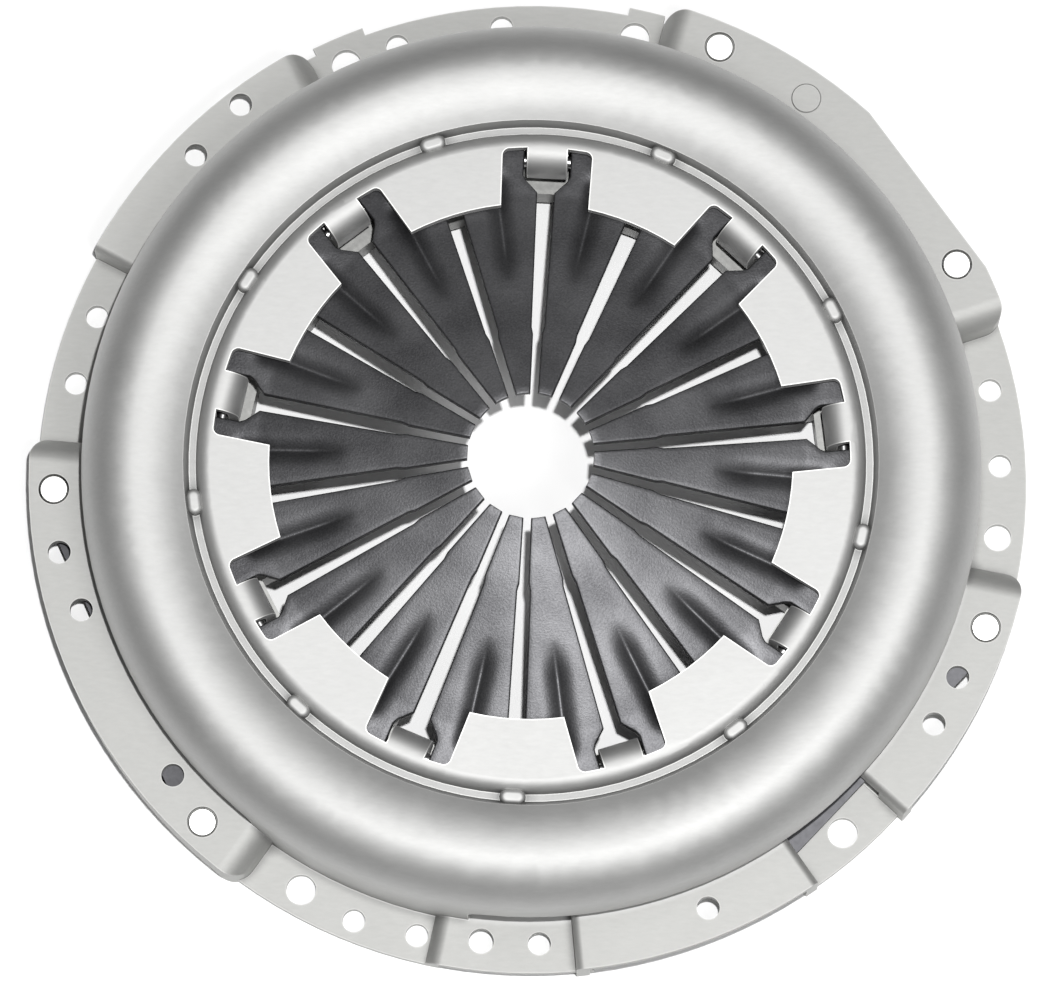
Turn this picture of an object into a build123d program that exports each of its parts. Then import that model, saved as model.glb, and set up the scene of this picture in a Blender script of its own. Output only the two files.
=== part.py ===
from build123d import *
import os
from math import asin, atan2, cos, degrees, radians, sin, sqrt, tan
from typing import NamedTuple

# Diaphragm-spring clutch cover assembly for a 230 mm driven disc.
# Origin: centre of the mounting face that bolts to the flywheel. +Z points to the release bearing.

# ---- cover pressing --------------------------------------------------------------------------
fulcrum_r = 87.0           # radius of the fulcrum wire, from which cover, spring and plate are set out
sheet = 3.5                # thickness of the pressed steel
cover_height = 42.0        # mounting face to the top of the tooth land
crown_rise = 3.4           # how far the crown of the dome stands above the tooth land
slot_end_r = fulcrum_r + 1.3   # outer end of the slots beside a hook
tooth_r = slot_end_r - 15.9    # inner edge of the nine teeth
land_end_r = slot_end_r + 0.5  # the tooth land rolls over into the groove from here
groove_depth = 4.0         # floor of the groove below the tooth land; its underside is the upper fulcrum
groove_width = 2.0         # flat floor of the groove
groove_in = land_end_r + groove_depth
groove_out = groove_in + groove_width
groove_wall = 1.4          # width of the steep outer side of the groove
flank_r = groove_out + groove_wall
flank_radius = 28.0        # fall of the crown towards the groove
crown_r = flank_r + 13.8   # radius of the crown's highest circle
shoulder_radius = 15.0     # rounding from the crown into the wall
wall_r = crown_r + shoulder_radius
pebble_length = 7.2        # small bosses that bridge the groove, one behind each tooth
pebble_width = 4.2
pebble_height = 3.5
pebble_rounding = 1.4
pad_r = wall_r + 13.7      # outer radius of the low bolting pads
land_r = wall_r + 15.5     # outer radius of the raised strap lands
land_rise = 13.0           # raised land above the bolting pads
step_rise = 5.0            # half-height step beside the lower land
land_bend = 7.5            # outer rounding of a drawn land end
sharp_bend = 2.4           # outer rounding of a sharp land end
inner_bend = 1.2           # rounding inside any land end
land_corner = 6.0          # plan rounding of the free land corners
skirt_sheet = 1.8          # the turned-down skirt is drawn thinner than the cover
ear_r = pad_r + 0.9        # outer radius of the small ears on the upper pad
ears = [(74.4, 78.6), (110.2, 116.4)]
upper_pad_r = pad_r - 1.3  # outer radius of the upper pad between its ears
flat_distance = land_r - 2.7   # straight edge of the first land, measured from the axis
flat_angle = 36.3          # direction that the straight edge faces
flat_half_span = 12.0      # the straight edge lies within this angle on both sides
window_top = 24.0          # upper edge of the strap windows in the wall
window_corner = 5.0        # rounding of the upper window corners
channel_r = wall_r + 6.3   # the strap crosses the land ends of the third window inside this
channel_reach = 2.8        # degrees by which that channel runs into both lands
channel_floor = 0.4        # sheet left standing above the low pad in the channel

# ---- hooks, wires and diaphragm spring --------------------------------------------------------
hook_count = 9
hook_angle = 7.0           # direction of the first hook
tooth_inner_angle = 20.2   # width of a tooth at its inner edge
tooth_outer_angle = 23.7   # width of a tooth at its root
slot_corner = 2.0          # rounded corners at the outer end of the slots
hook_width = 11.2
hook_sheet = 3.0           # the hook is coined thinner than the cover
hook_lip = 2.6             # straight lip under the lower wire
hook_root = 0.25           # flat root of a hook's tongue, on both sides of the end of its slot
wire_d = 3.5
spring_t = 2.8
disc_angle = 8.0           # cone of the outer disc of the spring
finger_angle = 12.5        # the fingers rise more steeply
finger_root_r = tooth_r + 3.6  # where the fingers bend up out of the disc
ridge_r = crown_r - 6.0    # circle on which the spring presses the plate
spring_r = ridge_r + 1.5   # outer edge of the spring
tip_r = 17.5               # circle of the finger tips
finger_count = 2 * hook_count
slot_tip_width = 1.7       # gap between finger tips
slot_mid_width = 3.5       # gap just outside the step
slot_root_width = 4.8      # gap at the finger roots
slot_step_r = 36.0         # radius of the step in the finger edges
slot_end_inner_r = finger_root_r + 3.0     # blind end of the plain slots
hook_window_r = fulcrum_r - 6.7            # inner end of the full-width hook window
window_shoulder_r = hook_window_r - 3.6    # where a hook slot starts to widen
hook_window_width = 13.0
hook_window_gap = 0.9      # radial clearance outside the hook lip
hook_window_corner = 1.5   # slanted corners of the hook window
slot_tip_flare = 0.8       # the tip slot is this much wider at its outer end
slot_end_taper = 0.45      # share of the width left at the blind end of a plain slot
rib_start_r = 47.0         # the pressed rib of each finger starts here
rib_end_r = slot_end_inner_r + 0.5
rib_height = 0.7
rib_width = 5.6
rib_crest = 0.8            # width of the crest of a rib
rib_tip_share = 0.08       # size of a rib at its tip, as a share of its root

# ---- pressure plate ---------------------------------------------------------------------------
plate_bore_r = fulcrum_r - 11.4
pocket_r = fulcrum_r - 6.7 # nine pockets in the bore stand under the hooks and reach out this far
pocket_width = 15.5
plate_r = wall_r - 9.5
face_z = 5.2               # friction face of the unloaded plate
plate_thickness = 11.8
plate_rim_drop = 1.8       # the outer rim is lower than the middle
ridge_width = 5.0
ridge_foot = 2.5           # sloping foot on both sides of the ridge
ridge_tip = 2.0            # height of the narrow tip that the spring presses on
ridge_gap_width = 9.0
ridge_gap_depth = 6.0
plate_chamfer = 1.0
lift = 3.8                 # plate travel: take-up when bolted down, and release
lug_width = 15.0
lug_corner = 5.0
lug_underside = 0.8
lug_reach = 4.7            # how far the lug runs on past its rivet
lug_root = 6.0             # how far the lug runs into the ring
heel_depth = 2.5           # the heel that carries the lug stands this far out of the ring
heel_height = 4.0          # and this far above the lug

# ---- straps and rivets ------------------------------------------------------------------------
leaf_count = 3
leaf_t = 0.7
strap_width = 9.6
strap_flat = 9.0           # flat end of a leaf, measured from the rivet
rivet_r = wall_r + 8.5     # circle of the strap rivets
hidden_rivet_inset = 7.0   # the third plate rivet sits this much nearer to the axis
rivet_d = 6.0
rivet_head_d = 7.8
rivet_head_h = 1.6
rivet_recess = 0.5         # the flush heads lie this far below the land
close_head_d = 9.0
close_head_h = 1.5
head_clear = 0.4           # radial clearance round a rivet head in the cover
shank_clear = 0.1          # radial clearance round a rivet shank
head_chamfer = 0.3
seat_gap = 0.1             # clearance at curved seats
travel_gap = 0.2           # what is left above a plate rivet at full lift
overcut = 2.0              # how far a cutting tool runs past the metal

# ---- holes of the flange ----------------------------------------------------------------------
hole_circle_r = wall_r + 6.5
dowel_d = 8.4
bolt_d = 7.6
wide_d = 7.0
small_d = 6.4
boss_angle = 54.4
boss_r = wall_r + 7.5
boss_d = 8.4
boss_height = 0.6


class Land(NamedTuple):
    """A raised stretch of the flange, between the outer faces of its two end bends."""
    start: float
    end: float
    outer_r: float
    rise: float
    start_bend: float
    end_bend: float
    skirt: bool


class Hole(NamedTuple):
    angle: float
    radius: float
    diameter: float


class Station(NamedTuple):
    """A strap pack: one end on the cover, the other on a lug of the plate."""
    cover_angle: float
    plate_angle: float
    plate_radius: float
    open_land: bool


lands = {
    "upper_right": Land(18.3, 74.1, land_r, land_rise, land_bend, land_bend, False),
    "upper_left": Land(117.6, 152.3, pad_r, land_rise, land_bend, sharp_bend, False),
    "lower_left": Land(175.2, 234.7, land_r, land_rise, land_bend, land_bend, True),
    "lower_step": Land(257.7, 277.2, pad_r, step_rise, inner_bend + sheet, sharp_bend, False),
    "bottom": Land(275.2, 304.9, pad_r + 0.5, land_rise, sharp_bend, sharp_bend, False),
    "lower_right": Land(317.4, 348.6, land_r, land_rise, sharp_bend, land_bend, False),
}

holes = [
    Hole(353.3, hole_circle_r, bolt_d),
    Hole(2.2, hole_circle_r, small_d),
    Hole(11.7, hole_circle_r, small_d),
    Hole(77.3, hole_circle_r, dowel_d),
    Hole(93.8, hole_circle_r, small_d),
    Hole(106.9, hole_circle_r, small_d),
    Hole(113.6, hole_circle_r, dowel_d),
    Hole(127.7, hole_circle_r + 2.5, small_d),
    Hole(135.9, hole_circle_r, small_d),
    Hole(158.7, hole_circle_r, small_d),
    Hole(167.4, hole_circle_r, small_d),
    Hole(189.3, hole_circle_r + 2.0, small_d),
    Hole(196.8, hole_circle_r - 0.5, small_d),
    Hole(220.3, hole_circle_r - 1.0, small_d),
    Hole(240.8, hole_circle_r, dowel_d),
    Hole(248.2, hole_circle_r + 1.5, small_d),
    Hole(256.0, hole_circle_r, small_d),
    Hole(263.9, hole_circle_r - 1.0, wide_d),
    Hole(271.0, hole_circle_r - 1.0, small_d),
    Hole(292.0, hole_circle_r - 0.5, small_d),
    Hole(311.3, hole_circle_r, dowel_d),
    Hole(328.0, hole_circle_r + 0.5, small_d),
    Hole(334.4, hole_circle_r, small_d),
]

stations = [
    Station(66.7, 26.8, rivet_r, True),
    Station(226.9, 181.6, rivet_r, True),
    Station(341.3, 299.5, rivet_r - hidden_rivet_inset, False),
]
windows = [(20.6, 71.8), (177.2, 231.6), (262.0, 345.6)]

# ---- values that follow -----------------------------------------------------------------------
crown_z = cover_height + crown_rise
shoulder_z = crown_z - shoulder_radius
tooth_under_z = cover_height - sheet
floor_z = cover_height - groove_depth
bead_z = floor_z - sheet
flank_z = crown_z - flank_radius + sqrt(flank_radius**2 - (crown_r - flank_r) ** 2)
wire_r = wire_d / 2
disc_half = spring_t / 2 / cos(radians(disc_angle))
finger_half = spring_t / 2 / cos(radians(finger_angle))
bead_spring_z = floor_z - (sheet + seat_gap + spring_t / 2) / cos(radians(disc_angle))


def disc_mid(radius):
    """Height of the middle of the spring's outer disc, which touches the groove's inner rounding."""
    return bead_spring_z + (groove_in - radius) * tan(radians(disc_angle))


def spring_mid(radius):
    """Height of the middle of the spring's sheet at a radius, fingers included."""
    if radius >= finger_root_r:
        return disc_mid(radius)
    return disc_mid(finger_root_r) + (finger_root_r - radius) * tan(radians(finger_angle))


wire_z = disc_mid(fulcrum_r) - (wire_r + seat_gap + spring_t / 2) / cos(radians(disc_angle))
lip_z = wire_z - wire_r - seat_gap
hook_axis_r = sqrt(fulcrum_r**2 - (hook_width / 2) ** 2)
hook_inner_r = hook_axis_r - wire_r - seat_gap - hook_sheet
plate_top_z = face_z + plate_thickness
land_under_z = land_rise
land_top_z = land_rise + sheet
strap_stack = leaf_count * leaf_t
lug_top_z = land_under_z - travel_gap - lift - rivet_head_h - strap_stack


def polar(radius, angle, z=0.0):
    return Vector(radius * cos(radians(angle)), radius * sin(radians(angle)), z)


def sector_plan(r_in, r_out, start, end):
    """A flat piece of a ring between two angles."""
    sweep_angle = end - start
    outline = [
        CenterArc((0, 0), r_out, start, sweep_angle),
        CenterArc((0, 0), r_in, start, sweep_angle),
        Line(polar(r_in, start), polar(r_out, start)),
        Line(polar(r_in, end), polar(r_out, end)),
    ]
    return make_face(outline)


def sector(r_in, r_out, start, end, z_low, z_high):
    """A solid piece of a ring between two angles."""
    return Pos(0, 0, z_low) * extrude(sector_plan(r_in, r_out, start, end), z_high - z_low)


def nearest(edges, point):
    """The edge whose middle lies nearest to a point."""
    return min(edges, key=lambda edge: (edge.center() - point).length)


def nearest_vertex(shape, point):
    return min(shape.vertices(), key=lambda vertex: (Vector(vertex) - point).length)


def drill(angle, radius, diameter, z_low=-1.0, z_high=land_top_z + 1.0):
    """A cutter for an upright round hole."""
    depth = z_high - z_low
    return Pos(*polar(radius, angle, z_low + depth / 2)) * Cylinder(diameter / 2, depth)


# ---- cover ------------------------------------------------------------------------------------
def flank(radius, arc_radius):
    """Arc of the crown's flank, or of its underside, from the crown in to a radius near the groove."""
    span = degrees(asin((crown_r - radius) / arc_radius))
    return CenterArc((crown_r, crown_z - flank_radius), arc_radius, 90, span)


def dome():
    """Tooth land, groove, crown and wall as one turned section of even thickness."""
    wall_angle = atan2(flank_z - floor_z, groove_wall)
    flank_angle = asin((crown_r - flank_r) / flank_radius)
    corner_shift = sheet * sin((wall_angle + flank_angle) / 2) / cos((wall_angle - flank_angle) / 2)
    under_radius = flank_radius - sheet
    under_r = flank_r + corner_shift
    under_z = crown_z - flank_radius + sqrt(under_radius**2 - (crown_r - under_r) ** 2)
    bead_out = (groove_out + sheet * sin(wall_angle), floor_z - sheet * cos(wall_angle))
    outline = [
        Line((tooth_r, cover_height), (land_end_r, cover_height)),
        CenterArc((land_end_r, floor_z), groove_depth, 0, 90),
        Polyline((groove_in, floor_z), (groove_out, floor_z), (flank_r, flank_z)),
        flank(flank_r, flank_radius),
        CenterArc((crown_r, shoulder_z), shoulder_radius, 0, 90),
        Polyline((wall_r, shoulder_z), (wall_r, 0), (wall_r - sheet, 0), (wall_r - sheet, shoulder_z)),
        CenterArc((crown_r, shoulder_z), shoulder_radius - sheet, 0, 90),
        flank(under_r, under_radius),
        Line((under_r, under_z), bead_out),
        CenterArc((groove_out, floor_z), sheet, -90, degrees(wall_angle)),
        Line((groove_out, bead_z), (groove_in, bead_z)),
        CenterArc((groove_in, floor_z), sheet, 180, 90),
        Polyline((groove_in - sheet, floor_z), (land_end_r, tooth_under_z), (tooth_r, tooth_under_z),
                 (tooth_r, cover_height)),
    ]
    return revolve(Plane.XZ * make_face(Curve() + outline), Axis.Z)


def land(spec):
    """A raised land: a drawn box with rounded ends, hollow below, closed outside by its skirt."""
    r_in = wall_r - sheet
    r_mid = (r_in + spec.outer_r) / 2
    top = spec.rise + sheet
    ends = ((spec.start, spec.start_bend), (spec.end, spec.end_bend))
    body = sector(r_in, spec.outer_r, spec.start, spec.end, 0, top)
    plan = sector_plan(r_in, spec.outer_r, spec.start, spec.end)
    for angle, bend in ends:
        body = fillet(nearest(body.edges(), polar(r_mid, angle, top)), bend)
        if bend == land_bend:
            plan = fillet(nearest_vertex(plan, polar(spec.outer_r, angle)), land_corner)
    body = body & extrude(plan, top)
    wall_angle = degrees(sheet / r_mid)
    hollow_r = spec.outer_r - skirt_sheet if spec.skirt else spec.outer_r + sheet
    hollow = sector(r_in - 1, hollow_r, spec.start + wall_angle, spec.end - wall_angle, -1, spec.rise)
    for angle, bend in ((spec.start + wall_angle, spec.start_bend), (spec.end - wall_angle, spec.end_bend)):
        edge = nearest(hollow.edges(), polar((r_in + hollow_r) / 2, angle, spec.rise))
        hollow = fillet(edge, max(inner_bend, bend - sheet))
    return body - hollow


def pads():
    """The low pads that lie on the flywheel, between the lands."""
    r_in = wall_r - sheet
    order = list(lands.values())
    parts = []
    for before, after in zip(order, order[1:] + order[:1]):
        overlap = degrees(sheet / 2 / pad_r)
        start = before.end - overlap
        end = after.start + overlap + (360 if after.start < before.end - 180 else 0)
        if end - start > 2 * overlap:
            outer = upper_pad_r if before is lands["upper_right"] else pad_r
            parts.append(sector(r_in, outer, start, end, 0, sheet))
    return parts + [sector(r_in, ear_r, start, end, 0, sheet) for start, end in ears]


def slot_cut():
    """The opening between two teeth, without the hook in it."""
    inner_half = (360 / hook_count - tooth_inner_angle) / 2
    outer_half = (360 / hook_count - tooth_outer_angle) / 2
    inside = tooth_r - overcut
    corners = [polar(slot_end_r, -outer_half), polar(slot_end_r, outer_half)]
    outline = [
        Line(polar(inside, inner_half), polar(inside, -inner_half)),
        Line(polar(inside, -inner_half), corners[0]),
        CenterArc((0, 0), slot_end_r, -outer_half, 2 * outer_half),
        Line(corners[1], polar(inside, inner_half)),
    ]
    plan = make_face(outline)
    for corner in corners:
        plan = fillet(nearest_vertex(plan, corner), slot_corner)
    return extrude(plan, cover_height)


def hook():
    """A tongue bent down through the spring and back out under the fulcrum wire."""
    low_bend = wire_r + seat_gap
    bend_r = slot_end_r - hook_root
    top_bend = bend_r - hook_inner_r
    bend_z = cover_height - top_bend
    under_z = cover_height - hook_sheet
    root_r = slot_end_r + hook_root
    lip_end = hook_axis_r + hook_lip
    bottom_z = lip_z - hook_sheet
    outer_r = hook_inner_r + hook_sheet
    outline = [
        Line((root_r, cover_height), (bend_r, cover_height)),
        CenterArc((bend_r, bend_z), top_bend, 90, 90),
        Line((hook_inner_r, bend_z), (hook_inner_r, wire_z)),
        CenterArc((hook_axis_r, wire_z), low_bend + hook_sheet, 180, 90),
        Polyline((hook_axis_r, bottom_z), (lip_end, bottom_z), (lip_end, lip_z), (hook_axis_r, lip_z)),
        CenterArc((hook_axis_r, wire_z), low_bend, 180, 90),
        Line((outer_r, wire_z), (outer_r, bend_z)),
        CenterArc((bend_r, bend_z), top_bend - hook_sheet, 90, 90),
        Polyline((bend_r, under_z), (root_r, under_z), (root_r, cover_height)),
    ]
    return extrude(Plane.XZ * make_face(Curve() + outline), hook_width / 2, both=True)


def pebble():
    """One of the small pressed bosses that bridge the groove."""
    start_z = floor_z - sheet / 2
    middle_r = (groove_in + groove_out) / 2
    plan = Pos(middle_r, 0, start_z) * Rot(0, 0, 90) * SlotOverall(pebble_length, pebble_width)
    body = extrude(plan, sheet / 2 + pebble_height)
    return fillet(body.faces().sort_by(Axis.Z)[-1].edges(), pebble_rounding)


def window_cut(start, end):
    """A window through the wall for a strap pack."""
    inside = wall_r - sheet - overcut
    outside = wall_r + overcut
    cut = sector(inside, outside, start, end, -overcut, window_top)
    for angle in (start, end):
        edge = nearest(cut.edges(), polar((inside + outside) / 2, angle, window_top))
        cut = fillet(edge, window_corner)
    return cut


def make_cover():
    body = dome() - [window_cut(start, end) for start, end in windows]
    body = body + pads() + [land(spec) for spec in lands.values()]
    outside = sector(flat_distance, land_r + overcut, flat_angle - flat_half_span,
                     flat_angle + flat_half_span, -overcut, land_top_z + overcut)
    half_plane = Rot(0, 0, flat_angle) * Pos(flat_distance + land_r / 2, 0, 0) * Box(land_r, land_r, land_r)
    body = body - (outside & half_plane)
    for k in range(hook_count):
        turn = Rot(0, 0, hook_angle + 360 / hook_count * k)
        body = body - turn * Pos(0, 0, tooth_under_z - 1) * slot_cut()
    hooks = [Rot(0, 0, hook_angle + 360 / hook_count * k) * hook() for k in range(hook_count)]
    pebbles = [Rot(0, 0, hook_angle + 360 / hook_count * (k + 0.5)) * pebble() for k in range(hook_count)]
    body = body + hooks + pebbles
    channel = sector(wall_r - sheet - overcut, channel_r, lands["bottom"].end - channel_reach,
                     lands["lower_right"].start + channel_reach, sheet + channel_floor, land_under_z)
    cuts = [channel] + [drill(h.angle, h.radius, h.diameter) for h in holes]
    for place in stations:
        cuts += rivet_cuts(place.cover_angle, rivet_r)
        if place.open_land:
            access_d = rivet_head_d + 2 * head_clear
            cuts.append(drill(place.plate_angle, place.plate_radius, access_d, land_under_z - 1))
    cuts.append(drill(boss_angle, boss_r, rivet_d + 2 * shank_clear))
    return body - cuts


def rivet_cuts(angle, radius):
    """Counterbore and shank hole of a flush rivet in a raised land."""
    seat_z = land_top_z - rivet_recess - rivet_head_h
    return [
        drill(angle, radius, rivet_head_d + 2 * head_clear, seat_z),
        drill(angle, radius, rivet_d + 2 * shank_clear, land_under_z - 1),
    ]


# ---- wires and spring -------------------------------------------------------------------------
def fulcrum_wire():
    return Pos(0, 0, wire_z) * Torus(fulcrum_r, wire_r)


def finger_slot(windowed):
    """Plan of one slot between two fingers; every second slot opens into a hook window."""
    tip, mid, root = slot_tip_width / 2, slot_mid_width / 2, slot_root_width / 2
    step_in, step_out = slot_step_r - 1, slot_step_r + 1
    half = [(tip_r - overcut, tip), (step_in, tip + slot_tip_flare / 2), (step_out, mid)]
    if windowed:
        window_end = fulcrum_r + hook_lip + hook_window_gap
        side = hook_window_width / 2
        corner = hook_window_corner
        half += [(window_shoulder_r, root), (hook_window_r, side - corner / 2),
                 (hook_window_r + corner, side), (window_end - corner, side), (window_end, side - corner)]
    else:
        half += [(slot_end_inner_r - root, root), (slot_end_inner_r, root * slot_end_taper)]
    mirrored = [(x, -y) for x, y in reversed(half)]
    return extrude(make_face(Polyline(*half, *mirrored, close=True)), 2 * cover_height)


def rib_section(radius, share):
    """Upright cross-section of a finger rib; share runs from 0 at its tip to 1 at its root."""
    foot_z = spring_mid(radius)
    sheet_z = foot_z + disc_half
    top_z = sheet_z + rib_height * share
    half = rib_width / 2 * share
    crest = rib_crest / 2 * share
    points = [(radius, -half, foot_z), (radius, half, foot_z), (radius, half, sheet_z),
              (radius, crest, top_z), (radius, -crest, top_z), (radius, -half, sheet_z)]
    return make_face(Polyline(*points, close=True))


def finger_rib():
    """A pressed rib that rises and widens towards the root of a finger."""
    finger_part = loft([rib_section(rib_start_r, rib_tip_share), rib_section(finger_root_r, 1.0)])
    disc_part = loft([rib_section(finger_root_r, 1.0), rib_section(rib_end_r, rib_tip_share)])
    return finger_part + disc_part


def make_spring():
    """Coned washer with eighteen fingers that bend up a little more than the disc."""
    tip_z, root_z, edge_z = (spring_mid(r) for r in (tip_r, finger_root_r, spring_r))
    section = make_face(Polyline(
        (tip_r, tip_z - finger_half), (finger_root_r, root_z - disc_half), (spring_r, edge_z - disc_half),
        (spring_r, edge_z + disc_half), (finger_root_r, root_z + disc_half), (tip_r, tip_z + finger_half),
        close=True))
    body = revolve(Plane.XZ * section, Axis.Z)
    step = 360 / finger_count
    cuts = []
    for k in range(finger_count):
        cuts.append(Rot(0, 0, hook_angle + step * k) * finger_slot(k % 2 == 0))
    ribs = [Rot(0, 0, hook_angle + step * (k + 0.5)) * finger_rib() for k in range(finger_count)]
    return (body - cuts) + ribs


# ---- pressure plate ---------------------------------------------------------------------------
def make_plate():
    """Cast ring with friction face, pressed by the spring on its ridge, with bore pockets and strap lugs."""
    crest_half = ridge_width / 4
    ridge_top = disc_mid(ridge_r + crest_half) - disc_half - seat_gap
    rim_z = plate_top_z - plate_rim_drop
    c = plate_chamfer
    half = ridge_width / 2
    section = make_face(Polyline(
        (plate_bore_r, face_z + c), (plate_bore_r + c, face_z), (plate_r - c, face_z), (plate_r, face_z + c),
        (plate_r, rim_z - c), (plate_r - c, rim_z), (ridge_r + half + ridge_foot, rim_z),
        (ridge_r + half, rim_z + ridge_foot), (ridge_r + half, ridge_top - ridge_tip),
        (ridge_r + crest_half, ridge_top), (ridge_r - crest_half, ridge_top),
        (ridge_r - half, ridge_top - ridge_tip), (ridge_r - half, plate_top_z + ridge_foot),
        (ridge_r - half - ridge_foot, plate_top_z), (plate_bore_r + c, plate_top_z),
        (plate_bore_r, plate_top_z - c), close=True))
    body = revolve(Plane.XZ * section, Axis.Z)
    gap = Pos(ridge_r, 0, ridge_top) * Box(2 * ridge_width, ridge_gap_width, 2 * ridge_gap_depth)
    pocket_in = plate_bore_r - overcut
    pocket = Pos((pocket_in + pocket_r) / 2, 0, 0) * Box(pocket_r - pocket_in, pocket_width, 2 * ridge_top)
    for k in range(hook_count):
        body = body - Rot(0, 0, hook_angle + 360 / hook_count * k) * (gap + pocket)
    body = body + [Rot(0, 0, place.plate_angle) * lug(place.plate_radius) for place in stations]
    shank = rivet_d + 2 * shank_clear
    return body - [drill(place.plate_angle, place.plate_radius, shank) for place in stations]


def lug(radius):
    """A lug that reaches out through a window and carries the plate end of a strap pack."""
    root_r = plate_r - lug_root
    tip = radius + lug_reach
    plan = Pos((root_r + tip) / 2, 0, 0) * Rectangle(tip - root_r, lug_width)
    plan = fillet(plan.vertices().sort_by(Axis.X)[-2:], lug_corner)
    arm = Pos(0, 0, lug_underside) * extrude(plan, lug_top_z - lug_underside)
    disc_clear = Cylinder(plate_r, 2 * face_z)
    heel_top = lug_top_z + heel_height
    heel = Pos((root_r + plate_r + heel_depth) / 2, 0, (face_z + heel_top) / 2) * Box(
        plate_r + heel_depth - root_r, lug_width, heel_top - face_z)
    return (arm - disc_clear) + heel


# ---- straps and rivets ------------------------------------------------------------------------
def strap_plane(place):
    """Frame of a strap pack: origin under the cover rivet, X towards the plate rivet."""
    start = polar(rivet_r, place.cover_angle)
    end = polar(place.plate_radius, place.plate_angle)
    return Plane(origin=start, x_dir=end - start, z_dir=(0, 0, 1)), (end - start).length


def make_leaf(place, index):
    """One spring-steel leaf, flat at both rivets and sloping down to the plate in between."""
    frame, length = strap_plane(place)
    high = land_under_z - index * leaf_t
    low = lug_top_z + strap_stack - index * leaf_t
    end_r = strap_width / 2
    path = [(-end_r, high), (strap_flat, high), (length - strap_flat, low), (length + end_r, low)]
    below = [(x, z - leaf_t) for x, z in reversed(path)]
    profile = Plane.XZ * make_face(Polyline(*path, *below, close=True))
    band = extrude(profile, strap_width, both=True)
    plan = extrude(Pos(length / 2, 0, 0) * SlotCenterToCenter(length, strap_width), cover_height)
    leaf = band & plan
    for x in (0, length):
        leaf = leaf - Pos(x, 0, high) * Cylinder(rivet_d / 2 + shank_clear, 2 * cover_height)
    return frame.location * leaf


def make_cover_rivet(place):
    """Flush head in the land, shank through the leaves, formed head below them."""
    head_low = land_top_z - rivet_recess - rivet_head_h
    stack_low = land_under_z - strap_stack
    return turned_rivet(polar(rivet_r, place.cover_angle), head_low, rivet_head_h, stack_low, close_head_h)


def make_plate_rivet(place):
    """Head on the leaves, shank down to the underside of the lug."""
    head_low = lug_top_z + strap_stack
    head_h = rivet_head_h
    if place.open_land:
        head_h = land_top_z - rivet_recess - head_low
    centre = polar(place.plate_radius, place.plate_angle)
    return turned_rivet(centre, head_low, head_h, lug_underside, 0)


def turned_rivet(centre, head_low, head_h, foot_z, foot_h):
    head = Pos(0, 0, head_low + head_h / 2) * Cylinder(rivet_head_d / 2, head_h)
    head = chamfer(head.edges().sort_by(Axis.Z)[-1], head_chamfer)
    shank_h = head_low - foot_z
    body = head + Pos(0, 0, foot_z + shank_h / 2) * Cylinder(rivet_d / 2, shank_h)
    if foot_h:
        foot = Pos(0, 0, foot_z - foot_h / 2) * Cylinder(close_head_d / 2, foot_h)
        body = body + chamfer(foot.edges().sort_by(Axis.Z)[0], foot_h / 2)
    return Pos(centre.X, centre.Y, 0) * body


def make_balance_rivet():
    """Rivet that fills one balance hole; its head stands just proud of the land, its foot is flush."""
    head = Pos(0, 0, land_top_z + boss_height / 2) * Cylinder(boss_d / 2, boss_height)
    head = chamfer(head.edges().sort_by(Axis.Z)[-1], boss_height / 2)
    shank = Pos(0, 0, (land_top_z + land_under_z) / 2) * Cylinder(rivet_d / 2, sheet)
    return Pos(*polar(boss_r, boss_angle)) * (head + shank)


# ---- all nodes --------------------------------------------------------------------------------
nodes = {
    "cover": make_cover(),
    "diaphragm_spring": make_spring(),
    "fulcrum_wire": fulcrum_wire(),
    "pressure_plate": make_plate(),
    "balance_rivet": make_balance_rivet(),
}
for number, place in enumerate(stations, start=1):
    for index in range(leaf_count):
        nodes[f"strap_{number}_leaf_{index + 1}"] = make_leaf(place, index)
    nodes[f"cover_rivet_{number}"] = make_cover_rivet(place)
    nodes[f"plate_rivet_{number}"] = make_plate_rivet(place)

os.makedirs("parts", exist_ok=True)
for name, solid in nodes.items():
    export_step(solid, f"parts/{name}.step")
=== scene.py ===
"""Looks of a diaphragm-spring clutch cover assembly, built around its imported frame."""
from math import cos, pi, radians, sin, tan

import bpy
import numpy as np
from mathutils import Matrix, Vector


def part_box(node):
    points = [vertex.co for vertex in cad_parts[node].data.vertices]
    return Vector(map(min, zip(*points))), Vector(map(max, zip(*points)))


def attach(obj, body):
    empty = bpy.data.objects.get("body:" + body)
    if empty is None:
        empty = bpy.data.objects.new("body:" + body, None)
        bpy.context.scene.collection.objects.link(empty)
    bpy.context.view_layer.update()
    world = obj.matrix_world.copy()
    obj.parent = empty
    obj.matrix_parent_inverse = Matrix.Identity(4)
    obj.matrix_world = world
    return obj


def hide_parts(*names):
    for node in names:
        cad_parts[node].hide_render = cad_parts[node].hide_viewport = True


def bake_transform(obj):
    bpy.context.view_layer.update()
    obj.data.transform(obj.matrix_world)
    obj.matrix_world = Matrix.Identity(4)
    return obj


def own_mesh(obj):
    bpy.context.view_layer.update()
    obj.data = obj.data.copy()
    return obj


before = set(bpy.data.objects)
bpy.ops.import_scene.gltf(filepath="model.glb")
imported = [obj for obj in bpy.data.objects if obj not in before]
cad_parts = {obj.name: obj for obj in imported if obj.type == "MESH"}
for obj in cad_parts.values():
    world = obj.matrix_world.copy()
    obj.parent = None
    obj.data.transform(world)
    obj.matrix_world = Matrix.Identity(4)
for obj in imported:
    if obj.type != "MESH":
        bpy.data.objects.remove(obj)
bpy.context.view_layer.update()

MM = 0.001
FRAME_WIDTH = 1056                # pixels
FRAME_HEIGHT = 992

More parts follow.
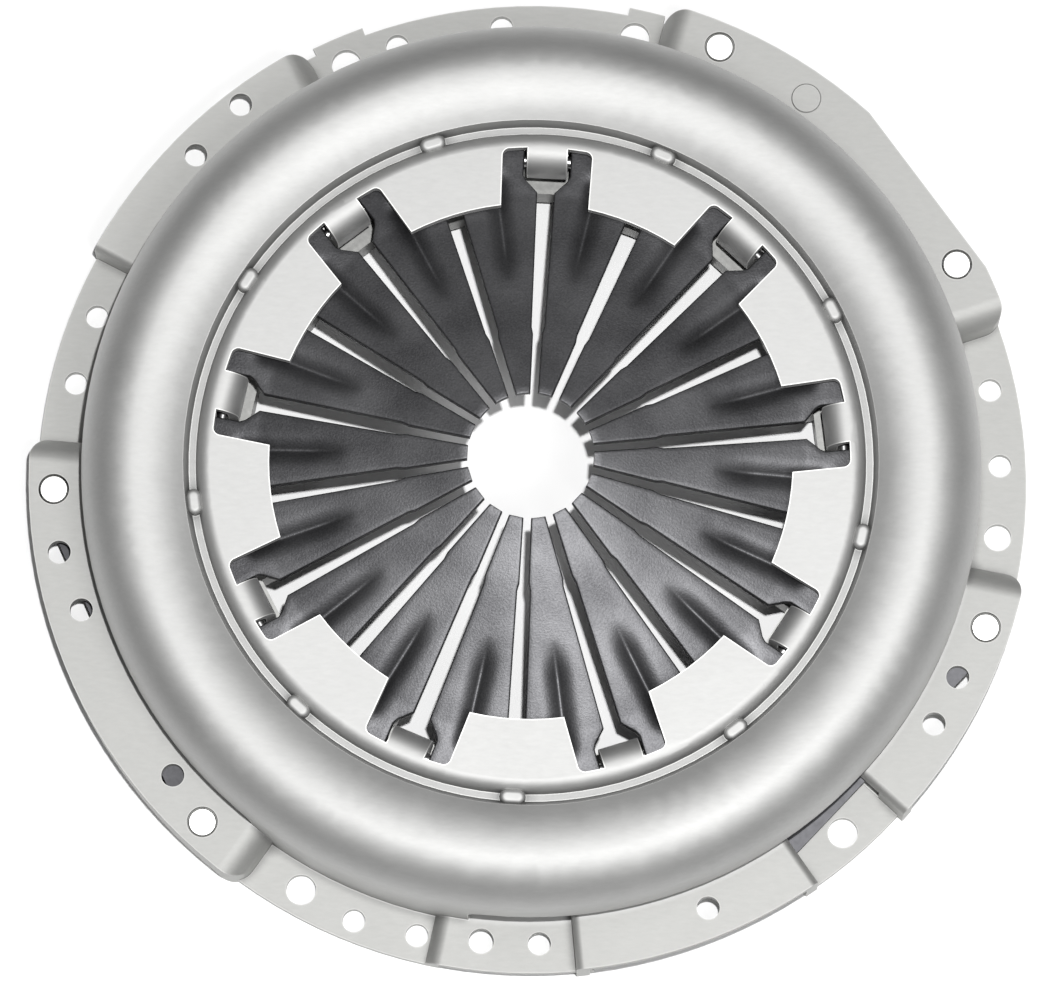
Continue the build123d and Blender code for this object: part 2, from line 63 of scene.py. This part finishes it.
# camera, fitted to the hole circle, the groove and the dome
CAMERA_DISTANCE = 2.5             # metres
CAMERA_LEAN = radians(9.862)      # the camera stands this far towards -Y from straight above
CAMERA_ASIDE = radians(0.45)      # and this far towards +X
CAMERA_SCALE = 3.5578             # pixels per millimetre at the origin
ORIGIN_PX = 531.99                # where the origin falls in the frame
ORIGIN_PY = 485.93

# places in metres that materials and pieces share
WALL_R = 125.0 * MM               # where the cover's wall meets its flange
FLOOR_Z = -0.2 * MM               # just under the flange


# ---- small helpers ---------------------------------------------------------------------------
def linear(code):
    """An sRGB hex colour as linear RGBA."""
    srgb = np.array([int(code[i:i + 2], 16) / 255 for i in (1, 3, 5)])
    rgb = np.where(srgb <= 0.04045, srgb / 12.92, ((srgb + 0.055) / 1.055) ** 2.4)
    return (*rgb.tolist(), 1.0)


def add(tree, kind, inputs=(), **settings):
    """Adds a node; inputs holds values or (node, output) links by socket, settings its properties."""
    made = tree.nodes.new(kind)
    for name, value in settings.items():
        setattr(made, name, value)
    for socket, value in dict(inputs).items():
        if isinstance(value, tuple) and isinstance(value[0], bpy.types.Node):
            tree.links.new(value[0].outputs[value[1]], made.inputs[socket])
        else:
            made.inputs[socket].default_value = value
    return made


def start_material(name):
    """A new material with an empty node tree; returns it and the tree."""
    material = bpy.data.materials.new(name)
    material.use_nodes = True
    material.node_tree.nodes.clear()
    return material, material.node_tree


def finish_material(tree, shader, output="BSDF"):
    add(tree, "ShaderNodeOutputMaterial", {"Surface": (shader, output)})


# ---- materials -------------------------------------------------------------------------------
def pressed_steel():
    """Deep-drawn low-carbon steel sheet, tumbled.

    Satin and nearly white, with fine scratches; a painted highlight brightens its edges, and painted shade
    darkens its hollows.
    """
    material, tree = start_material("pressed_steel_deep_drawn")
    place = add(tree, "ShaderNodeTexCoord")
    # the flange lies outside WALL_R about the clutch axis
    split = add(tree, "ShaderNodeSeparateXYZ", {0: (place, "Object")})
    square_x = add(tree, "ShaderNodeMath", {0: (split, "X"), 1: (split, "X")}, operation="MULTIPLY")
    square = add(tree, "ShaderNodeMath", {0: (split, "Y"), 1: (split, "Y"), 2: (square_x, 0)},
                 operation="MULTIPLY_ADD")
    radius = add(tree, "ShaderNodeMath", {0: (square, 0), 1: 0.5}, operation="POWER")
    flange = add(tree, "ShaderNodeMapRange", {
        "Value": (radius, 0), "From Min": WALL_R - 1 * MM, "From Max": WALL_R + 1 * MM})
    # tumbled grain of 0.9 mm, coarser than the real one so that it shows, and stains of 38 mm
    grain = add(tree, "ShaderNodeTexNoise", {
        "Vector": (place, "Object"), "Scale": 1 / (0.9 * MM), "Detail": 3.0, "Roughness": 0.6})
    cloud = add(tree, "ShaderNodeTexNoise", {
        "Vector": (place, "Object"), "Scale": 1 / (38 * MM), "Detail": 4.0, "Roughness": 0.55})
    steel = add(tree, "ShaderNodeMix", {
        "Factor": (flange, 0), "A": linear("#c0c0bf"), "B": linear("#b9b9b7")}, data_type="RGBA")
    # handling scratches of 1.1 mm, drawn out to three times that and wider than real ones so that they show
    drawn_out = add(tree, "ShaderNodeMapping", {
        "Vector": (place, "Object"), "Rotation": (0.0, 0.0, radians(35)), "Scale": (0.3, 1.0, 1.0)})
    scratch = add(tree, "ShaderNodeTexNoise", {
        "Vector": (drawn_out, 0), "Scale": 1 / (1.1 * MM), "Detail": 5.0, "Roughness": 0.7})
    marks = add(tree, "ShaderNodeMath", {0: (scratch, 0), 1: 0.7, 2: (cloud, 0)},
                operation="MULTIPLY_ADD")
    tone = add(tree, "ShaderNodeMapRange", {
        "Value": (marks, 0), "From Min": 0.6, "From Max": 1.1, "To Min": 0.91, "To Max": 1.03})
    colour = add(tree, "ShaderNodeVectorMath", {0: (steel, "Result"), 3: (tone, 0)}, operation="SCALE")
    rough_base = add(tree, "ShaderNodeMapRange", {"Value": (flange, 0), "To Min": 0.6, "To Max": 0.64})
    rough = add(tree, "ShaderNodeMath", {0: (cloud, 0), 1: 0.1, 2: (rough_base, 0)},
                operation="MULTIPLY_ADD")
    # painted highlight: edges coloured near white where the true and the rounded normal differ, hardly on
    # the flange
    rounded = add(tree, "ShaderNodeBevel", {"Radius": 0.7 * MM}, samples=8)
    flat = add(tree, "ShaderNodeNewGeometry")
    agree = add(tree, "ShaderNodeVectorMath", {0: (rounded, 0), 1: (flat, "Normal")},
                operation="DOT_PRODUCT")
    edge_highlight_mask = add(tree, "ShaderNodeMapRange", {
        "Value": (agree, "Value"), "From Min": 0.99, "From Max": 0.93, "To Min": 0.0, "To Max": 1.0})
    edge_highlight_share = add(tree, "ShaderNodeMapRange", {"Value": (flange, 0), "To Min": 1.0, "To Max": 0.2})
    bright = add(tree, "ShaderNodeMath", {0: (edge_highlight_mask, 0), 1: (edge_highlight_share, 0)}, operation="MULTIPLY")
    highlighted_colour = add(tree, "ShaderNodeMix", {
        "Factor": (bright, 0), "A": (colour, 0), "B": linear("#f4f4f2")}, data_type="RGBA")
    # painted shade: colour darkened by ambient occlusion in hollows and corners up to 4 mm deep
    hollow = add(tree, "ShaderNodeAmbientOcclusion", {"Distance": 4 * MM}, samples=8, only_local=True)
    painted_corner_shade = add(tree, "ShaderNodeMapRange", {
        "Value": (hollow, "AO"), "From Min": 0.3, "From Max": 0.8, "To Min": 0.4, "To Max": 1.0})
    shaded_colour = add(tree, "ShaderNodeVectorMath", {0: (highlighted_colour, "Result"), 3: (painted_corner_shade, 0)},
                 operation="SCALE")
    bump = add(tree, "ShaderNodeBump", {"Strength": 0.12, "Distance": 0.05 * MM, "Height": (grain, 0)})
    shader = add(tree, "ShaderNodeBsdfPrincipled", {
        "Base Color": (shaded_colour, 0), "Metallic": 1.0, "Roughness": (rough, 0), "Normal": (bump, 0)})
    finish_material(tree, shader)
    return material


def phosphated_spring():
    """Hardened spring steel, shot-peened and phosphated: dark grey, grainy, with a dull sheen."""
    material, tree = start_material("spring_steel_peened_phosphated")
    place = add(tree, "ShaderNodeTexCoord")
    # dimples of 0.55 mm, a little coarser than the shot so that they show, and patches of 22 mm
    peen = add(tree, "ShaderNodeTexNoise", {
        "Vector": (place, "Object"), "Scale": 1 / (0.55 * MM), "Detail": 2.0, "Roughness": 0.7})
    patch = add(tree, "ShaderNodeTexNoise", {
        "Vector": (place, "Object"), "Scale": 1 / (22 * MM), "Detail": 3.0, "Roughness": 0.5})
    mixed = add(tree, "ShaderNodeMath", {0: (peen, 0), 1: 0.6, 2: (patch, 0)}, operation="MULTIPLY_ADD")
    ramp = add(tree, "ShaderNodeMapRange", {"Value": (mixed, 0), "From Min": 0.55, "From Max": 1.05})
    colour = add(tree, "ShaderNodeMix", {
        "Factor": (ramp, 0), "A": linear("#444446"), "B": linear("#68686a")}, data_type="RGBA")
    bump = add(tree, "ShaderNodeBump", {"Strength": 0.7, "Distance": 0.08 * MM, "Height": (peen, 0)})
    shader = add(tree, "ShaderNodeBsdfPrincipled", {
        "Base Color": (colour, "Result"), "Metallic": 0.85, "Roughness": 0.47, "Normal": (bump, 0)})
    finish_material(tree, shader)
    return material


def machined_iron():
    """Grey cast iron, turned on its faces: mid grey with faint rings about the axis."""
    material, tree = start_material("grey_iron_turned")
    place = add(tree, "ShaderNodeTexCoord")
    # rings 2.37 mm apart (a wave repeats every 2 pi / 20 of its scale) and casting grain of 1.5 mm, both
    # coarser than the real ones so that they show
    rings = add(tree, "ShaderNodeTexWave", {
        "Vector": (place, "Object"), "Scale": 2 * pi / (20 * 2.3675 * MM), "Distortion": 0.6,
        "Detail": 2.0}, wave_type="RINGS", rings_direction="Z")
    cast = add(tree, "ShaderNodeTexNoise", {
        "Vector": (place, "Object"), "Scale": 1 / (1.5 * MM), "Detail": 4.0, "Roughness": 0.6})
    colour = add(tree, "ShaderNodeMix", {
        "Factor": (cast, 0), "A": linear("#6a6a69"), "B": linear("#8c8c8a")}, data_type="RGBA")
    height = add(tree, "ShaderNodeMath", {0: (rings, 0), 1: 0.5, 2: (cast, 0)}, operation="MULTIPLY_ADD")
    bump = add(tree, "ShaderNodeBump", {"Strength": 0.15, "Distance": 0.05 * MM, "Height": (height, 0)})
    shader = add(tree, "ShaderNodeBsdfPrincipled", {
        "Base Color": (colour, "Result"), "Metallic": 0.9, "Roughness": 0.42, "Normal": (bump, 0)})
    finish_material(tree, shader)
    return material


def bright_steel(name, dark, light, roughness, grain_mm):
    """Cold-formed steel, bright, or dark grey as painted shade: an even sheen over a grain of grain_mm.

    The grain is drawn coarser than the real one, so that it shows.
    """
    material, tree = start_material(name)
    place = add(tree, "ShaderNodeTexCoord")
    grain = add(tree, "ShaderNodeTexNoise", {
        "Vector": (place, "Object"), "Scale": 1 / (grain_mm * MM), "Detail": 3.0, "Roughness": 0.6})
    colour = add(tree, "ShaderNodeMix", {
        "Factor": (grain, 0), "A": linear(dark), "B": linear(light)}, data_type="RGBA")
    bump = add(tree, "ShaderNodeBump", {"Strength": 0.15, "Distance": 0.04 * MM, "Height": (grain, 0)})
    shader = add(tree, "ShaderNodeBsdfPrincipled", {
        "Base Color": (colour, "Result"), "Metallic": 1.0, "Roughness": roughness, "Normal": (bump, 0)})
    finish_material(tree, shader)
    return material


COVER_STEEL = pressed_steel()
SPRING_STEEL = phosphated_spring()
PLATE_IRON = machined_iron()
WIRE_STEEL = bright_steel("wire_steel_drawn", "#a9a9a9", "#cfcfcf", 0.3, 1.2)
# the straps are coloured dark grey as painted shade, for the shaded band between the dome's edge and the
# flange's pads
STRAP_STEEL = bright_steel("strap_steel_rolled_painted_shade", "#4a4a4c", "#626265", 0.55, 1.6)
RIVET_STEEL = bright_steel("rivet_steel_upset", "#dcdcda", "#f0f0ee", 0.45, 0.8)


# ---- pieces ----------------------------------------------------------------------------------
def smooth_copy(node, material, sharp_degrees=28.0):
    """A merged, smooth-shaded copy of a CAD node, with its true corners kept sharp."""
    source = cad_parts[node].data
    count = len(source.vertices)
    points = np.empty(count * 3, np.float32)
    source.vertices.foreach_get("co", points)
    points = points.reshape(-1, 3)
    corners = np.empty(len(source.loops), np.int32)
    source.loops.foreach_get("vertex_index", corners)
    step = 1e-6                   # points that agree to a micrometre are one
    unique, index = np.unique(np.round(points / step).astype(np.int64), axis=0, return_inverse=True)
    faces = index.reshape(-1)[corners].reshape(-1, 3)
    keep = (faces[:, 0] != faces[:, 1]) & (faces[:, 1] != faces[:, 2]) & (faces[:, 0] != faces[:, 2])
    mesh = bpy.data.meshes.new(node + "_surface")
    mesh.from_pydata((unique * step).tolist(), [], faces[keep].tolist())
    mesh.polygons.foreach_set("use_smooth", np.ones(len(mesh.polygons), bool))
    mesh.set_sharp_from_angle(angle=radians(sharp_degrees))
    mesh.materials.append(material)
    piece = bpy.data.objects.new(node + "_surface", mesh)
    bpy.context.scene.collection.objects.link(piece)
    weighted = piece.modifiers.new("weighted", "WEIGHTED_NORMAL")
    weighted.keep_sharp = True
    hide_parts(node)
    return piece


# ---- diaphragm spring --------------------------------------------------------------------------
# lengths in millimetres and angles in degrees, unless radians() turns them
FULCRUM_R = 87.0                  # where the spring tilts on its wire
TIP_R = 17.5
ROOT_R = FULCRUM_R - 11.0         # where the fingers bend up out of the disc
SPRING_R = 105.5
SHEET_HALF = 1.41
BEAD_R = 92.8                     # the disc's middle is at BEAD_Z here
BEAD_Z = 32.95
DISC_SLOPE = tan(radians(8.0))
FINGER_SLOPE = tan(radians(12.5))
SPRING_SHARP = 50                 # edges of the spring above this angle stay sharp, in degrees
FINGERS = 18
FIRST_SLOT = 7.0                  # angle of the first hook slot, in degrees
PLAIN_END_R = 79.0                # blind end of the plain slots
WINDOW_R = 80.3                   # inner and outer end of a hook window
WINDOW_END_R = 90.5
EDGE_ROUND = 0.45                 # rounding of all upper edges
TIP_ROUND = [(0, EDGE_ROUND), (0.08, 0.12), (EDGE_ROUND, 0)]   # distance from a finger's tip, drop there
EDGE_SHARES = np.array([0, 0.15, 0.5])   # columns on a rounded edge, as shares of EDGE_ROUND
FLAT_SHARES = np.array([1, 0.82, 0.66, 0.52, 0.4, 0.3, 0.22, 0.15, 0.09, 0.04])   # and on to the middle
UNDER_COLUMNS = 13
GROOVE_DEPTH = 1.9                # the groove pressed along each finger root
GROOVE_HALF = 5.0
GROOVE_FLAT = 0.25                # half the width of its bottom
GROOVE_STARTS = (50.0, 61.0)      # radii between which it deepens
GROOVE_ENDS = (80.0, 84.5)        # and between which it ends
SLOT_TIP = [(0, 0.85), (35, 1.25), (37, 1.75)]   # radius and half width of a slot, up to past its step
PLAIN_SLOT = [*SLOT_TIP, (76.6, 2.4), (PLAIN_END_R, 1.08)]
HOOK_SLOT = [*SLOT_TIP, (76.7, 2.4), (WINDOW_R, 5.75), (81.8, 6.5), (89.0, 6.5), (WINDOW_END_R, 5.0)]


def smooth_step(value, low, high):
    """3t^2 - 2t^3 with t = (value - low) / (high - low), held between 0 and 1."""
    t = np.clip((value - low) / (high - low), 0, 1)
    return t * t * (3 - 2 * t)


def spring_middle(radius):
    """Height of the sheet's middle: an 8 degree disc, and fingers of 12.5 degrees inside ROOT_R."""
    disc = BEAD_Z + (BEAD_R - np.maximum(radius, ROOT_R)) * DISC_SLOPE
    return disc + np.maximum(ROOT_R - radius, 0) * FINGER_SLOPE


def pressed_groove(radius, offset):
    """Depth of a finger's groove, d (1 - |y| / w)^2, flat along its bottom and fading out at its ends."""
    share = np.clip(1 - np.maximum(np.abs(offset) - GROOVE_FLAT, 0) / GROOVE_HALF, 0, 1)
    along = smooth_step(radius, *GROOVE_STARTS) * (1 - smooth_step(radius, *GROOVE_ENDS))
    return GROOVE_DEPTH * share ** 2 * along


def spring_rows():
    """Radii of the sections; the end of each slot has two, one with its width and one without."""
    finger = [np.linspace(20, 34, 8), [35, 36, 37, 38.5], np.linspace(41, 50, 5)]
    root = [np.linspace(51, 64, 14), np.linspace(66, 76, 9), [76.7, 77.5, 78.3], [PLAIN_END_R] * 2]
    window = [[WINDOW_R, 80.9, 81.8, 83, 84.5, 86.5, 89], [WINDOW_END_R] * 2]
    disc = [np.linspace(93, SPRING_R, 5)]
    tip = [[TIP_R + inside for inside, _ in TIP_ROUND]]
    return np.concatenate([*tip, *finger, *root, *window, *disc])


def finger_section(rows, before, after):
    """Angles and drops of one finger's closed sections, from the half widths of the slots at its sides.

    Upper columns run from edge to edge, rounded by e - sqrt(e^2 - (e - d)^2) at distance d from the edge e;
    the lower ones run straight back.
    """
    half_pitch = radians(180 / FINGERS)
    r = rows[:, None]
    left = (-half_pitch + np.arcsin(before / rows))[:, None]
    right = (half_pitch - np.arcsin(after / rows))[:, None]
    edge = EDGE_ROUND * EDGE_SHARES
    edge_drop = EDGE_ROUND - np.sqrt(EDGE_ROUND ** 2 - (EDGE_ROUND - edge) ** 2)
    inner_left = left + EDGE_ROUND / r
    inner_right = right - EDGE_ROUND / r
    upper = np.hstack([left + edge / r, inner_left * FLAT_SHARES, np.zeros_like(r),
                       inner_right * FLAT_SHARES[::-1], right - edge[::-1] / r])
    flat = np.zeros((len(rows), 2 * len(FLAT_SHARES) + 1))
    drop = np.hstack([edge_drop * (before > 0)[:, None], flat, edge_drop[::-1] * (after > 0)[:, None]])
    lower = right + (left - right) * np.linspace(0, 1, UNDER_COLUMNS)
    return upper, drop, lower


def make_spring():
    """Fingered coned washer: a closed section per finger, swept along the radius.

    At radius r and angle a the upper face lies at middle(r) + SHEET_HALF - drop - groove(r, r sin a),
    and the lower face at middle(r) - SHEET_HALF - groove(r, r sin a).
    """
    rows = spring_rows()
    r = rows[:, None]
    slots_ended = np.concatenate([[False], np.diff(rows) == 0]).cumsum()
    plain = np.where(slots_ended > 0, 0, np.interp(rows, *zip(*PLAIN_SLOT)))
    hooked = np.where(slots_ended > 1, 0, np.interp(rows, *zip(*HOOK_SLOT)))
    tip_drop = np.zeros_like(r)
    tip_drop[:len(TIP_ROUND), 0] = [drop for _, drop in TIP_ROUND]
    middle = spring_middle(r)
    half_pitch = radians(180 / FINGERS)
    vertices = []
    faces = []
    start = 0
    for finger in range(FINGERS):
        before, after = (hooked, plain) if finger % 2 == 0 else (plain, hooked)
        upper, drop, lower = finger_section(rows, before, after)
        angle = np.hstack([upper, lower])
        above = middle + SHEET_HALF - drop - tip_drop
        below = np.broadcast_to(middle - SHEET_HALF, lower.shape)
        height = np.hstack([above, below]) - pressed_groove(r, r * np.sin(angle))
        turned = angle + radians(FIRST_SLOT) + half_pitch * (2 * finger + 1)
        points = np.stack([r * np.cos(turned), r * np.sin(turned), height], axis=-1)
        index = np.arange(angle.size).reshape(angle.shape) + start
        following = np.roll(index, -1, axis=1)
        quads = np.stack([index[:-1], following[:-1], following[1:], index[1:]], axis=-1).reshape(-1, 4)
        vertices.append(points.reshape(-1, 3))
        faces += quads.tolist() + [index[0][::-1].tolist(), index[-1].tolist()]
        start += angle.size
    mesh = bpy.data.meshes.new("spring_surface")
    mesh.from_pydata((np.vstack(vertices) * MM).tolist(), [], faces)
    mesh.polygons.foreach_set("use_smooth", np.ones(len(mesh.polygons), bool))
    mesh.set_sharp_from_angle(angle=radians(SPRING_SHARP))
    mesh.materials.append(SPRING_STEEL)
    piece = bpy.data.objects.new("spring_surface", mesh)
    bpy.context.scene.collection.objects.link(piece)
    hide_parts("diaphragm_spring")
    return piece


cover = smooth_copy("cover", COVER_STEEL)
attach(cover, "cover")
spring = make_spring()
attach(spring, "cover")
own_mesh(spring)
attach(smooth_copy("fulcrum_wire", WIRE_STEEL), "cover")
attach(smooth_copy("pressure_plate", PLATE_IRON), "pressure_plate")
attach(smooth_copy("balance_rivet", COVER_STEEL), "cover")
for station in (1, 2, 3):
    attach(smooth_copy(f"cover_rivet_{station}", RIVET_STEEL), "cover")
    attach(smooth_copy(f"plate_rivet_{station}", RIVET_STEEL), "pressure_plate")
    low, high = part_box(f"plate_rivet_{station}")
    plate_end = (low + high) / 2
    low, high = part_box(f"cover_rivet_{station}")
    cover_end = (low + high) / 2
    plate_end.z = cover_end.z = 0   # both ends' middles set to height zero
    for layer in (1, 2, 3):
        leaf = smooth_copy(f"strap_{station}_leaf_{layer}", STRAP_STEEL)
        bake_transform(leaf)


# ---- stage, light and camera -----------------------------------------------------------------
def make_floor():
    """A plain white matt floor that takes the object's shadow."""
    half = 4.0
    corners = [(x * half, y * half, FLOOR_Z) for x, y in ((-1, -1), (1, -1), (1, 1), (-1, 1))]
    mesh = bpy.data.meshes.new("floor")
    mesh.from_pydata(corners, [], [(0, 1, 2, 3)])
    material, tree = start_material("floor_white")
    paint = add(tree, "ShaderNodeBsdfDiffuse", {"Color": linear("#fdfdfd")})
    finish_material(tree, paint)
    mesh.materials.append(material)
    floor = bpy.data.objects.new("floor", mesh)
    bpy.context.scene.collection.objects.link(floor)


def make_world():
    """Studio surroundings: bright overhead, darker at the horizon, and white where the camera sees them."""
    world = bpy.data.worlds.new("studio")
    world.use_nodes = True
    tree = world.node_tree
    tree.nodes.clear()
    place = add(tree, "ShaderNodeTexCoord")
    split = add(tree, "ShaderNodeSeparateXYZ", {0: (place, "Generated")})
    ramp = add(tree, "ShaderNodeValToRGB", {0: (split, "Z")})
    ramp.color_ramp.elements[0].position = 0.0
    ramp.color_ramp.elements[0].color = linear("#303030")
    ramp.color_ramp.elements[1].position = 0.95
    ramp.color_ramp.elements[1].color = linear("#e8e8e8")
    middle = ramp.color_ramp.elements.new(0.55)
    middle.color = linear("#8a8a8a")
    sky = add(tree, "ShaderNodeBackground", {"Color": (ramp, 0), "Strength": 0.36})
    white = add(tree, "ShaderNodeBackground", {"Color": linear("#ffffff"), "Strength": 1.0})
    path = add(tree, "ShaderNodeLightPath")
    mixed = add(tree, "ShaderNodeMixShader", {0: (path, "Is Camera Ray"), 1: (sky, 0), 2: (white, 0)})
    add(tree, "ShaderNodeOutputWorld", {"Surface": (mixed, 0)})
    bpy.context.scene.world = world


def make_lamp(name, place, size, watts):
    """A square lamp aimed at the middle of the object; size is its side in metres."""
    lamp = bpy.data.lights.new(name, "AREA")
    lamp.size = size
    lamp.energy = watts
    holder = bpy.data.objects.new(name, lamp)
    holder.location = place
    aim = Vector((0, 0, 0.02)) - Vector(place)
    holder.rotation_euler = aim.to_track_quat("-Z", "Y").to_euler()
    holder.visible_camera = False
    bpy.context.scene.collection.objects.link(holder)


def make_camera():
    """Long-lens camera almost straight above, leaning a little towards -Y."""
    lean, out = CAMERA_LEAN, CAMERA_ASIDE
    back = Vector((sin(out), -sin(lean) * cos(out), cos(lean) * cos(out)))
    right = Vector((cos(out), sin(lean) * sin(out), -cos(lean) * sin(out)))
    up = back.cross(right)
    camera = bpy.data.cameras.new("camera")
    camera.sensor_fit = "HORIZONTAL"
    camera.sensor_width = 36.0
    focal_px = CAMERA_SCALE * CAMERA_DISTANCE / MM
    camera.lens = focal_px / FRAME_WIDTH * camera.sensor_width
    camera.shift_x = (FRAME_WIDTH / 2 - ORIGIN_PX) / FRAME_WIDTH
    camera.shift_y = (ORIGIN_PY - FRAME_HEIGHT / 2) / FRAME_WIDTH
    holder = bpy.data.objects.new("camera", camera)
    turned = Matrix((right, up, back)).transposed().to_4x4()
    holder.matrix_world = Matrix.Translation(back * CAMERA_DISTANCE) @ turned
    bpy.context.scene.collection.objects.link(holder)
    bpy.context.scene.camera = holder


make_floor()
make_world()
# the key is small and close beside the camera's direction, so that slots and hooks cast narrow shadows
make_lamp("key_lamp", (0.084, -0.202, 2.0), 0.035, 34.0)
make_lamp("fill_softbox", (0.4, -0.55, 1.5), 0.5, 6.5)
make_camera()
bpy.context.scene.view_settings.view_transform = "Standard"
